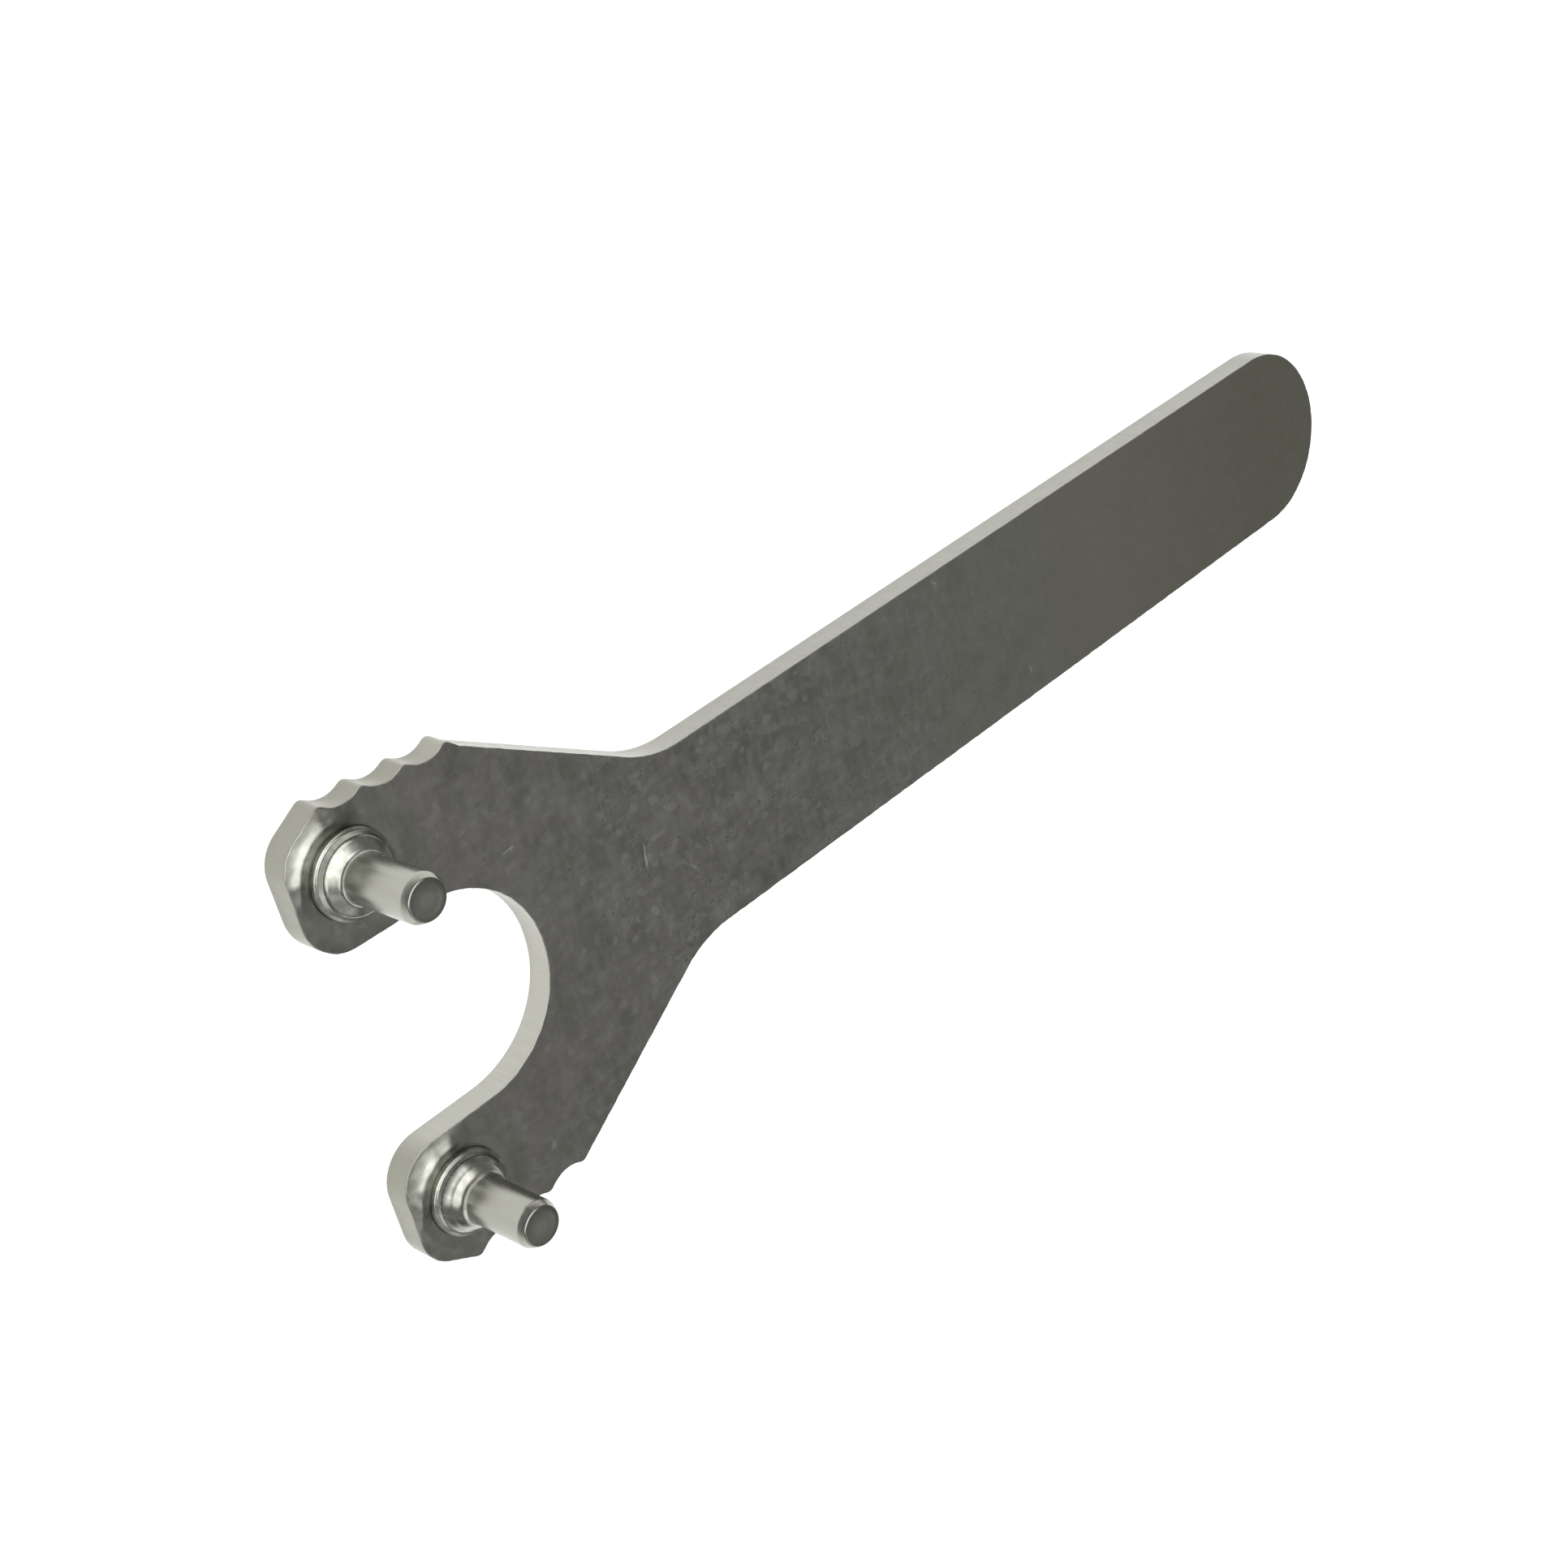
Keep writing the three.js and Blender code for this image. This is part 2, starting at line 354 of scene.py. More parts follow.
def edge_rings(outline, normals):
    """Closed rings of points from the front face over the edge to the back face."""
    rings = []
    steps = np.linalg.norm(np.roll(outline, -1, axis=0) - outline, axis=1)
    length = np.concatenate([[0], np.cumsum(steps)[:-1]])
    rough = np.array([smooth_noise(s * EDGE_COARSE_CELLS, 0.3) for s in length])
    finer = np.array([smooth_noise(s * EDGE_FINE_CELLS, 7.7) for s in length])
    roll = 1 + EDGE_UNEVEN * rough + EDGE_UNEVEN * finer
    wander = EDGE_WANDER * np.maximum(0, 0.5 + finer + 0.6 * rough)
    for inset, drop in FRONT_EDGE:
        points = outline - normals * (inset * roll + wander)[:, None]
        heights = [face_height(x, y) for x, y in points]
        rings.append(np.column_stack([points, np.array(heights) - drop * roll]))
    top = rings[-1][:, 2]
    bottom = BACK_EDGE[0][1]
    for level in range(1, WALL_LEVELS):
        share = level / WALL_LEVELS
        torn = np.array([smooth_noise(s * WALL_TEAR_CELLS, share * 2.5, 5.0) for s in length])
        # The edge's wander fades out over the first third of the wall.
        fading = max(0.0, 1 - 3 * share)
        inset = wander * fading + WALL_TEAR * (1 + torn) * math.sin(math.pi * share)
        points = outline - normals * inset[:, None]
        rings.append(np.column_stack([points, top + (bottom - top) * share]))
    for inset, height in BACK_EDGE:
        points = outline - normals * inset
        rings.append(np.column_stack([points, np.full(len(points), height)]))
    return rings


# Section down the seat's inner edge, beside the collar: (radius, share of the seat's height).
SEAT_EDGE = (
    (4.62, 0.98),
    (4.55, 0.9),
    (4.48, 0.78),
    (4.4, 0.66),
    (4.32, 0.58),
    (4.27, 0.55),
    (4.265, 0.02),
)
# Section under the collar and down the bore: (radius, height).
BORE = (
    (4.2, THICKNESS),
    (3.5, THICKNESS),
    (BORE_RADIUS, THICKNESS - 0.02),
    (BORE_RADIUS, 1.9),
    (BORE_RADIUS, COUNTERSINK_RADIUS - BORE_RADIUS),
    (3.3, COUNTERSINK_RADIUS - 3.3),
    (COUNTERSINK_RADIUS - 0.04, 0.03),
    (COUNTERSINK_RADIUS + 0.03, 0.0),
)
HOLE_SEGMENTS = 120

# Spacing of the loose points that carry the faces' shape, and their clearances, in millimetres.
FRONT_SPACING = 2.0
FRONT_CLEARANCE = 0.9
BACK_SPACING = 4.0
BACK_CLEARANCE = 1.5
SEAT_FIRST_RING = SEAT_INNER_RADIUS + 0.14
SEAT_LAST_RING = SEAT_OUTER_RADIUS + 0.5
SEAT_SPACING = 0.16
SEAT_CLEARANCE = 0.12
SEAT_MARGIN = 0.6
DENT_CLEARANCE = 0.3
LEAST_GAP = 0.09
# Spacing of the loose grid's rows and the shake of its points, as shares of the points' spacing.
ROW_SHARE = 0.87
JITTER = 0.12
# Rings of points over a dent, as shares of its radius.
DENT_RINGS = (0.3, 0.6, 0.9, 1.25, 1.7, 2.3)


def circle_points(centre, radius, count, phase=0.0):
    """Points round a circle; the phase turns them by a share of one step."""
    angles = 2 * math.pi * (np.arange(count) + phase) / count
    return centre + radius * np.column_stack([np.cos(angles), np.sin(angles)])


def scattered_grid(polygon, spacing, clear, seed):
    """Loosely spaced points inside the polygon, clear of its edge and of the pins."""
    random = np.random.default_rng(seed)
    low, high = polygon.min(axis=0), polygon.max(axis=0)
    grid = []
    row = 0
    y = low[1]
    while y < high[1]:
        x = low[0] + (row % 2) * spacing / 2
        while x < high[0]:
            grid.append((x, y))
            x += spacing
        y += spacing * ROW_SHARE
        row += 1
    grid = np.array(grid) + random.uniform(-JITTER, JITTER, (len(grid), 2)) * spacing
    keep = inside(polygon, grid) & (distance_to(polygon, grid) > clear)
    for centre in PIN_CENTRES:
        keep &= np.linalg.norm(grid - centre, axis=1) > SEAT_OUTER_RADIUS + SEAT_MARGIN
    return grid[keep]


def seat_grid(polygon):
    """Fine rings of points over the seat raised round each pin."""
    points = []
    radii = np.arange(SEAT_FIRST_RING, SEAT_LAST_RING, SEAT_SPACING)
    for centre in PIN_CENTRES:
        for k, radius in enumerate(radii):
            points.append(circle_points(centre, radius, HOLE_SEGMENTS, 0.5 * (k % 2)))
    points = np.vstack(points)
    keep = inside(polygon, points) & (distance_to(polygon, points) > SEAT_CLEARANCE)
    return points[keep]


def dent_grid(polygon):
    """The middle of each dent and rings of points over it, more of them in the wider rings."""
    points = []
    for dent_x, dent_y, radius, _ in DENTS:
        centre = np.array([PIN_X + dent_x, dent_y])
        points.append(centre[None, :])
        for k, share in enumerate(DENT_RINGS):
            points.append(circle_points(centre, radius * share, 10 + 2 * k, 0.5 * (k % 2)))
    points = np.vstack(points)
    keep = inside(polygon, points) & (distance_to(polygon, points) > DENT_CLEARANCE)
    return points[keep]


def without_crowding(points, gap):
    """Drops each point that is nearer than gap to one before it."""
    kept = []
    cells = {}
    for point in points:
        cell = (int(point[0] // gap), int(point[1] // gap))
        near = [cells.get((cell[0] + i, cell[1] + j), []) for i in (-1, 0, 1) for j in (-1, 0, 1)]
        if all(np.linalg.norm(point - other) >= gap for group in near for other in group):
            cells.setdefault(cell, []).append(point)
            kept.append(point)
    return np.array(kept)


def fill_region(boundary, holes, loose):
    """Triangles over the area inside the boundary and outside the holes.

    They number the boundary's points first, then each hole's, then the loose points."""
    loops = [boundary, *holes]
    edges = []
    first = 0
    for loop in loops:
        edges.extend((first + i, first + (i + 1) % len(loop)) for i in range(len(loop)))
        first += len(loop)
    points = np.vstack([*loops, loose])
    flat = [Vector(p) for p in points]
    _, _, triangles, *_ = delaunay_2d_cdt(flat, edges, [], 0, 1e-7, True)
    triangles = np.array(triangles)
    centres = points[triangles].mean(axis=1)
    keep = inside(boundary, centres)
    for hole in holes:
        keep &= ~inside(hole, centres)
    return [tuple(int(v) for v in t) for t in triangles[keep]]


# Numbers of the plate's two materials.
FACE, WALL = 0, 1


def build_plate(materials):
    """The plate as one closed mesh: edges and walls, the two holes, then both faces."""
    outline = plate_outline()
    normals = outward_normals(outline)
    points = []
    faces = []
    slots = []

    def add_ring(ring):
        numbers = list(range(len(points), len(points) + len(ring)))
        points.extend(map(tuple, ring))
        return numbers

    def add_faces(new_faces, slot):
        faces.extend(new_faces)
        slots.extend([slot] * len(new_faces))

    edge = [add_ring(ring) for ring in edge_rings(outline, normals)]
    first_wall = len(FRONT_EDGE) - FRONT_RINGS_ON_WALL
    last_wall = len(edge) - len(BACK_EDGE) + BACK_RINGS_ON_WALL
    for i in range(len(edge) - 1):
        on_wall = first_wall <= i < last_wall
        add_faces(ring_faces(edge[i], edge[i + 1]), WALL if on_wall else FACE)

    front_holes = []
    back_holes = []
    for centre in PIN_CENTRES:
        crest = circle_points(centre, SEAT_INNER_RADIUS, HOLE_SEGMENTS)
        heights = [[face_height(x, y)] for x, y in crest]
        rings = [add_ring(np.hstack([crest, heights]))]
        for radius, share in SEAT_EDGE:
            ring = circle_points(centre, radius, HOLE_SEGMENTS)
            heights = [[THICKNESS + share * seat_rise(x, y)] for x, y in ring]
            rings.append(add_ring(np.hstack([ring, heights])))
        for radius, height in BORE:
            ring = circle_points(centre, radius, HOLE_SEGMENTS)
            rings.append(add_ring(np.hstack([ring, np.full((HOLE_SEGMENTS, 1), height)])))
        for a, b in zip(rings, rings[1:]):
            add_faces(ring_faces(a, b), FACE)
        front_holes.append(rings[0])
        back_holes.append(rings[-1])

    def close(boundary, holes, loose, height):
        """Fills one face; height gives the loose points' height from their place."""
        flat = np.array(points)
        boundary_points = flat[boundary][:, :2]
        hole_points = [flat[hole][:, :2] for hole in holes]
        triangles = fill_region(boundary_points, hole_points, loose)
        numbers = list(boundary)
        for hole in holes:
            numbers.extend(hole)
        numbers.extend(range(len(points), len(points) + len(loose)))
        points.extend((x, y, height(x, y)) for x, y in loose)
        add_faces([tuple(numbers[v] for v in t) for t in triangles], FACE)

    front_edge = np.array(points)[edge[0]][:, :2]
    fine = np.vstack([dent_grid(front_edge), seat_grid(front_edge)])
    coarse = scattered_grid(front_edge, FRONT_SPACING, FRONT_CLEARANCE, seed=11)
    loose = without_crowding(np.vstack([fine, coarse]), LEAST_GAP)
    close(edge[0], front_holes, loose, face_height)

    back_edge = np.array(points)[edge[-1]][:, :2]
    back_loose = scattered_grid(back_edge, BACK_SPACING, BACK_CLEARANCE, seed=12)
    close(edge[-1], back_holes, back_loose, lambda x, y: 0.0)
    return mesh_object("spanner_plate_formed", points, faces, slots, materials)


# ---------------------------------------------------------------------------
# Pins
# ---------------------------------------------------------------------------

# Sizes of the pins, in millimetres. The collar's heights are counted from the plate's face, the
# bevel's from the tip downwards.
COLLAR_RADIUS = 4.25
COLLAR_UNDERSIDE_RADIUS = 3.6
COLLAR_BEVEL = 0.08
COLLAR_ROUNDING = 0.2
COLLAR_WALL_FOOT = 0.1
COLLAR_WALL_TOP = 0.55
# A fine groove parts the collar's rim from the shoulder: (radius, height above the face), and size.
GROOVE_CENTRE = (4.02, 0.87)
GROOVE_SIZE = 0.09
SHOULDER_START = (3.93, 0.86)
SHAFT_RADIUS = 2.35
TIP_BEVEL_RADIUS = 2.08
TIP_BEVEL_LOW = 0.8
TIP_BEVEL_HIGH = 0.28
RIVET_RADIUS = 3.62
RIVET_ROUNDING = 0.1
RIVET_SETBACK = 0.03
TAIL_RADIUS = 2.75
# The collar stands clear of the plate's face by this much.
COLLAR_GAP = 0.005
# Flush head of the rivet in the plate's back: (radius, height).
RIVET_HEAD = ((0.8, 0.06), (1.8, 0.04), (2.6, RIVET_SETBACK), (3.1, RIVET_SETBACK))
# Shallow dip in the end of the pin: (radius, depth).
TIP_DIP = ((1.55, 0.005), (1.35, 0.03), (1.1, 0.055), (0.8, 0.06), (0.4, 0.045))
# Where the turning tool's rings show: clear of the shaft, of the collar's rim and above a height.
TOOL_RINGS_FROM_SHAFT = 0.3
TOOL_RINGS_FROM_RIM = 0.5
TOOL_RINGS_ABOVE = 1.3
TOOL_RINGS_CELLS = 5.5
PIN_SEGMENTS = 128
# Both pins stand about a degree out of square: sideways drift for each unit of height.
PIN_LEAN = np.array([0.0163, 0.0115])


def fillet(radius, height, size, start_degrees, turn_degrees, steps=6):
    """Section points round an arc whose centre is at (radius, height)."""
    angles = [math.radians(start_degrees + turn_degrees * k / steps) for k in range(steps + 1)]
    return [(radius + size * math.cos(a), height + size * math.sin(a)) for a in angles]


def rounded(before, corner, after, reach, steps=5):
    """Section points that round a corner off, starting and ending at reach from it."""
    corner = Vector(corner)
    start = corner + (Vector(before) - corner).normalized() * reach
    end = corner + (Vector(after) - corner).normalized() * reach
    points = []
    for k in range(steps + 1):
        t = k / steps
        points.append(tuple(start.lerp(corner, t).lerp(corner.lerp(end, t), t)))
    return points


def flare(foot, before, radius, steps=8):
    """Hollow curve that leads from a slope ending at foot up into an upright of the radius."""
    slope = math.atan2(foot[1] - before[1], before[0] - foot[0])
    turn = math.pi / 2 - slope
    size = (foot[0] - radius) / (1 - math.cos(turn))
    top = foot[1] + size * math.sin(turn)
    points = []
    for k in range(1, steps + 1):
        angle = turn * (1 - k / steps)
        points.append((radius + size * (1 - math.cos(angle)), top - size * math.sin(angle)))
    return points


def straight(start, end, steps):
    """Section points between two places, both of them left out."""
    return [
        (start[0] + (end[0] - start[0]) * k / steps, start[1] + (end[1] - start[1]) * k / steps)
        for k in range(1, steps)
    ]


def pin_section(shoulder):
    """Half section of the pin from the middle of its rivet to the middle of its tip.

    The shoulder is a run of (radius, height above the face) from the collar's rim inwards."""
    face = THICKNESS
    tip = PIN_TIP_Z
    under_collar = face + COLLAR_GAP
    section = list(RIVET_HEAD)
    section += fillet(RIVET_RADIUS - RIVET_ROUNDING, RIVET_SETBACK + RIVET_ROUNDING, RIVET_ROUNDING, -90, 60)
    section += [(TAIL_RADIUS, RIVET_RADIUS - TAIL_RADIUS + RIVET_ROUNDING), (TAIL_RADIUS, under_collar)]
    section += [(COLLAR_UNDERSIDE_RADIUS, under_collar)]
    section += fillet(COLLAR_RADIUS - COLLAR_BEVEL, under_collar + COLLAR_BEVEL, COLLAR_BEVEL, -90, 90, 4)
    wall_foot = (COLLAR_RADIUS, face + COLLAR_WALL_FOOT)
    section += straight(wall_foot, (COLLAR_RADIUS, face + COLLAR_WALL_TOP), 4)
    section += fillet(COLLAR_RADIUS - COLLAR_ROUNDING, face + COLLAR_WALL_TOP, COLLAR_ROUNDING, 0, 78, 8)
    section += fillet(GROOVE_CENTRE[0], face + GROOVE_CENTRE[1], GROOVE_SIZE, -100, -50, 4)
    shoulder_start = (SHOULDER_START[0], face + SHOULDER_START[1])
    corners = [(radius, face + height) for radius, height in shoulder]
    section += straight(shoulder_start, corners[0], 6)
    section += rounded(shoulder_start, corners[0], corners[1], 0.2)
    for start, end in zip(corners, corners[1:]):
        section += straight(start, end, 10)[2:]
        section.append(end)
    section += flare(corners[-1], corners[-2], SHAFT_RADIUS)
    shaft_start = section[-1][1]
    bevel_low = (SHAFT_RADIUS, tip - TIP_BEVEL_LOW)
    bevel_high = (TIP_BEVEL_RADIUS, tip - TIP_BEVEL_HIGH)
    end_edge = (TIP_BEVEL_RADIUS - 0.16, tip)
    section += straight((SHAFT_RADIUS, shaft_start), bevel_low, 24)
    section += rounded((SHAFT_RADIUS, shaft_start), bevel_low, bevel_high, 0.16)
    section += rounded(bevel_low, bevel_high, end_edge, 0.2)
    section += rounded(bevel_high, end_edge, (0.0, tip), 0.12)
    section += [(radius, tip - depth) for radius, depth in TIP_DIP]
    return section


def tool_rings(radius, height, seed, strength):
    """Small departures in radius left by the turning tool on the shoulder."""
    on_shoulder = SHAFT_RADIUS + TOOL_RINGS_FROM_SHAFT < radius < COLLAR_RADIUS - TOOL_RINGS_FROM_RIM
    if not on_shoulder or height < THICKNESS + TOOL_RINGS_ABOVE:
        return 0.0
    return strength * smooth_noise(height * TOOL_RINGS_CELLS, seed)


def build_pin(name, centre, seed, shoulder, strength, materials):
    """A turned pin; seed and strength set its tool rings."""
    section = pin_section(shoulder)
    points = []
    faces = []
    rings = []
    for radius, height in section:
        rings.append(list(range(len(points), len(points) + PIN_SEGMENTS)))
        radius += tool_rings(radius, height, seed, strength)
        lean = PIN_LEAN * max(0.0, height - THICKNESS)
        for x, y in circle_points(lean, radius, PIN_SEGMENTS):
            points.append((x, y, height))
    for a, b in zip(rings, rings[1:]):
        faces.extend(ring_faces(a, b))
    for ring, height in ((rings[0], section[0][1] + 0.01), (rings[-1], section[-1][1])):
        middle = len(points)
        lean = PIN_LEAN * max(0.0, height - THICKNESS)
        points.append((lean[0], lean[1], height))
        for i in range(PIN_SEGMENTS):
            faces.append((ring[i], ring[(i + 1) % PIN_SEGMENTS], middle))
    pin = mesh_object(name, points, faces, materials=materials)
    pin.location = (centre[0] * MM, centre[1] * MM, 0)
    return pin


# ---------------------------------------------------------------------------
# Materials
# ---------------------------------------------------------------------------


class Nodes:
    """Short calls for building one material's node tree."""

    def __init__(self, name):
        self.material = bpy.data.materials.new(name)
        self.material.use_nodes = True
        self.tree = self.material.node_tree
        self.shader = self.tree.nodes["Principled BSDF"]

    def add(self, kind, settings=None, **inputs):
        node = self.tree.nodes.new(kind)
        for key, value in (settings or {}).items():
            setattr(node, key, value)
        for key, value in inputs.items():
            self.feed(node, key.replace("_", " "), value)
        return node

    def feed(self, node, key, value):
        """Links a socket, or sets a constant, to the input with that name or number."""
        socket = node.inputs[int(key)] if key.isdigit() else node.inputs[key]
        if isinstance(value, bpy.types.NodeSocket):
            self.tree.links.new(value, socket)
        else:
            socket.default_value = value

    def object_place(self):
        return self.add("ShaderNodeTexCoord").outputs["Object"]

    def coordinates(self, scale=(1, 1, 1), turn=0.0):
        """The object's own coordinates, scaled along each axis and turned about Z, in radians."""
        mapping = self.add("ShaderNodeMapping", Vector=self.object_place())
        mapping.inputs["Scale"].default_value = scale
        mapping.inputs["Rotation"].default_value = (0, 0, turn)
        return mapping.outputs["Vector"]

    def noise(self, vector, scale, detail=3.0, roughness=0.5):
        """Noise with scale cells for each metre."""
        node = self.add("ShaderNodeTexNoise", Vector=vector, Scale=scale, Detail=detail, Roughness=roughness)
        return node.outputs["Fac"]

    def drawn_noise(self, cells_per_metre, turn=0.0, detail=3.0, roughness=0.5):
        """Noise drawn out along an axis, with a number of cells for each metre along X, Y and Z."""
        return self.noise(self.coordinates(cells_per_metre, turn), 1, detail, roughness)

    def remap(self, value, low, high, to_low=0.0, to_high=1.0):
        """The value's run from low to high stretched to another run and held at its ends."""
        node = self.add("ShaderNodeMapRange", Value=value)
        node.inputs["From Min"].default_value = low
        node.inputs["From Max"].default_value = high
        node.inputs["To Min"].default_value = to_low
        node.inputs["To Max"].default_value = to_high
        return node.outputs["Result"]

    def math(self, operation, a, b):
        node = self.add("ShaderNodeMath", {"operation": operation})
        self.feed(node, "0", a)
        self.feed(node, "1", b)
        return node.outputs[0]

    def length(self, x, y):
        squared = self.math("ADD", self.math("MULTIPLY", x, x), self.math("MULTIPLY", y, y))
        return self.math("SQRT", squared, 0.0)

    def mix(self, factor, a, b):
        """Colour a where the factor is 0 and colour b where it is 1."""
        node = self.add("ShaderNodeMix", {"data_type": "RGBA"})
        self.feed(node, "0", factor)
        self.feed(node, "6", a)
        self.feed(node, "7", b)
        return node.outputs[2]

    def bump(self, height, strength, distance):
        node = self.add("ShaderNodeBump", Height=height, Strength=strength, Distance=distance)
        return node.outputs["Normal"]

    def metal(self, colour, roughness, normal):
        """Feeds the shader as bare metal and returns the finished material."""
        self.feed(self.shader, "Base Color", colour)
        self.feed(self.shader, "Metallic", 1.0)
        self.feed(self.shader, "Roughness", roughness)
        self.feed(self.shader, "Normal", normal)
        return self.material


# Colours of the plating and of the marks on it.
PLATING_DARK = (0.341, 0.331, 0.301, 1)
PLATING_LIGHT = (0.354, 0.343, 0.315, 1)
PLATING_GREEN = (0.326, 0.339, 0.304, 1)
GRAIN_COLOUR = (0.41, 0.405, 0.375, 1)
SEAT_COLOUR = (0.338, 0.341, 0.302, 1)
SEAT_STAIN_COLOUR = (0.2, 0.205, 0.178, 1)
# Painted shade at the seats' foot on the side of the tip.
SEAT_FOOT_SHADE_COLOUR = (0.212, 0.214, 0.186, 1)
STAIN_COLOUR = (0.12, 0.12, 0.098, 1)
RUBBED_COLOUR = (0.52, 0.515, 0.485, 1)
DULL_COLOUR = (0.2, 0.205, 0.18, 1)
PIT_RIM_COLOUR = (0.5, 0.5, 0.47, 1)
PIT_COLOUR = (0.15, 0.15, 0.135, 1)
LINE_COLOUR = (0.55, 0.55, 0.52, 1)
SCRATCH_COLOUR = (0.85, 0.85, 0.82, 1)

# Dark stains: (x from the pin line, y, radius, strength), millimetres.
STAINS = (
    (-1.1, 23.9, 2.2, 0.75),
    (1.6, 22.2, 1.7, 0.45),
    (-5.9, 19.3, 1.3, 0.55),
    (-5.6, -13.8, 1.5, 0.6),
    (-5.7, -16.0, 1.5, 0.6),
    (-0.7, -10.9, 1.3, 0.5),
    (18.7, 14.3, 1.4, 0.35),
    (13.4, 21.4, 3.4, 0.26),
    (18.4, 18.6, 2.9, 0.26),
    (23.0, 15.6, 2.3, 0.22),
    (27.6, 12.6, 2.0, 0.16),
)
# Bright scratches: (x from the pin line, y, half length, bearing in degrees, half width, strength).
SCRATCHES = (
    (29.9, 1.6, 1.4, 80, 0.16, 0.8),
    (15.6, 10.7, 0.9, 3, 0.13, 0.45),
    (86.2, -7.0, 0.7, 93, 0.13, 0.45),
    (74.7, 9.1, 0.6, 140, 0.13, 0.4),
    (34.7, -2.3, 1.4, 132, 0.13, 0.25),
)
# Slow change of the plating's colour along the handle: (start, end, colour), from the pin line.
HANDLE_TONES = (
    (45, 72, (0.378, 0.371, 0.336, 1)),
    (72, 98, (0.398, 0.393, 0.335, 1)),
    (102, 132, (0.333, 0.332, 0.266, 1)),
)
# Pale chips: (cells for each metre, random level at which a cell begins to show, level at which it
# shows in full).
CHIP_LAYERS = ((1300.0, 0.78, 1.0), (800.0, 0.8, 1.1))


def ramp_along(n, along, start, end, to_start=0.0, to_end=1.0):
    """A value that changes along X between two distances from the pin line, in millimetres."""
    return n.remap(along, (PIN_X + start) * MM, (PIN_X + end) * MM, to_start, to_end)


def seat_colours(n, colour, x, y):
    """The seats' colour, their small stains and painted shade at their foot on the side of the tip."""
    pin_dx = n.math("SUBTRACT", x, PIN_X * MM)
    pin_dy = n.math("SUBTRACT", n.math("ABSOLUTE", y, 0.0), PIN_Y * MM)
    radius = n.length(pin_dx, pin_dy)
    seat = n.remap(radius, 7.8 * MM, 6.6 * MM)
    colour = n.mix(seat, colour, SEAT_COLOUR)
    stained = n.remap(n.noise(n.coordinates(turn=0.7), 620, 2), 0.54, 0.7, 0, 0.3)
    colour = n.mix(n.math("MULTIPLY", stained, seat), colour, SEAT_STAIN_COLOUR)
    # Painted shade darkens the seat's foot on the side of the tip; the crest keeps the seat's colour.
    foot = n.remap(radius, 5.9 * MM, 6.7 * MM)
    foot = n.math("MULTIPLY", foot, n.remap(pin_dx, -1.2 * MM, -3.2 * MM, 0, 0.5))
    return n.mix(foot, colour, SEAT_FOOT_SHADE_COLOUR)


def stain_colours(n, colour, x, y):
    for stain_x, stain_y, radius, strength in STAINS:
        dx = n.math("SUBTRACT", x, (PIN_X + stain_x) * MM)
        dy = n.math("SUBTRACT", y, stain_y * MM)
        stain = n.remap(n.length(dx, dy), radius * MM, 0.3 * radius * MM, 0.0, strength)
        colour = n.mix(stain, colour, STAIN_COLOUR)
    return colour


def mottle_colours(n, colour, worked):
    """Slow drifts, blotches, smears and strokes, lighter and darker than the plating."""
    layers = (
        (n.noise(n.coordinates(turn=0.9), 210, 1), 0.22, 0.25),
        (n.noise(n.coordinates(turn=2.2), 480, 2), 0.2, 0.24),
        (n.drawn_noise((420, 1300, 500), 0.35, 1), 0.22, 0.14),
        (n.drawn_noise((1300, 380, 500), 0.2, 1), 0.22, 0.14),
    )
    for value, most_light, most_dark in layers:
        lighter = n.math("MULTIPLY", n.remap(value, 0.5, 0.68, 0, most_light), worked)
        darker = n.math("MULTIPLY", n.remap(value, 0.48, 0.3, 0, most_dark), worked)
        colour = n.mix(lighter, colour, RUBBED_COLOUR)
        colour = n.mix(darker, colour, DULL_COLOUR)
    return colour


def bent_place(n, place):
    """Coordinates bent a little by noise, so that the cells laid over them have uneven sides."""
    cells_per_metre = 700.0
    reach = 0.9 * MM
    shift = n.add("ShaderNodeTexNoise", Vector=place, Scale=cells_per_metre, Detail=1.0).outputs["Color"]
    shift = n.add("ShaderNodeVectorMath", {"operation": "SCALE"}, Vector=shift, Scale=reach)
    bent = n.add("ShaderNodeVectorMath", {"operation": "ADD"}, **{"0": place, "1": shift.outputs["Vector"]})
    return bent.outputs["Vector"]


def chip_mask(n, bent, clouds, worked):
    """Pale chips, fewer where the clouds are thin."""
    chips = 0.0
    for scale, low, high in CHIP_LAYERS:
        feature = {"feature": "SMOOTH_F1"}
        cells = n.add("ShaderNodeTexVoronoi", feature, Vector=bent, Scale=scale, Smoothness=0.3)
        level = n.add("ShaderNodeSeparateColor", Color=cells.outputs["Color"]).outputs["Red"]
        chips = n.math("MAXIMUM", chips, n.remap(level, low, high))
    return n.math("MULTIPLY", chips, n.math("MULTIPLY", n.remap(clouds, 0.35, 0.6, 0.5, 1), worked))


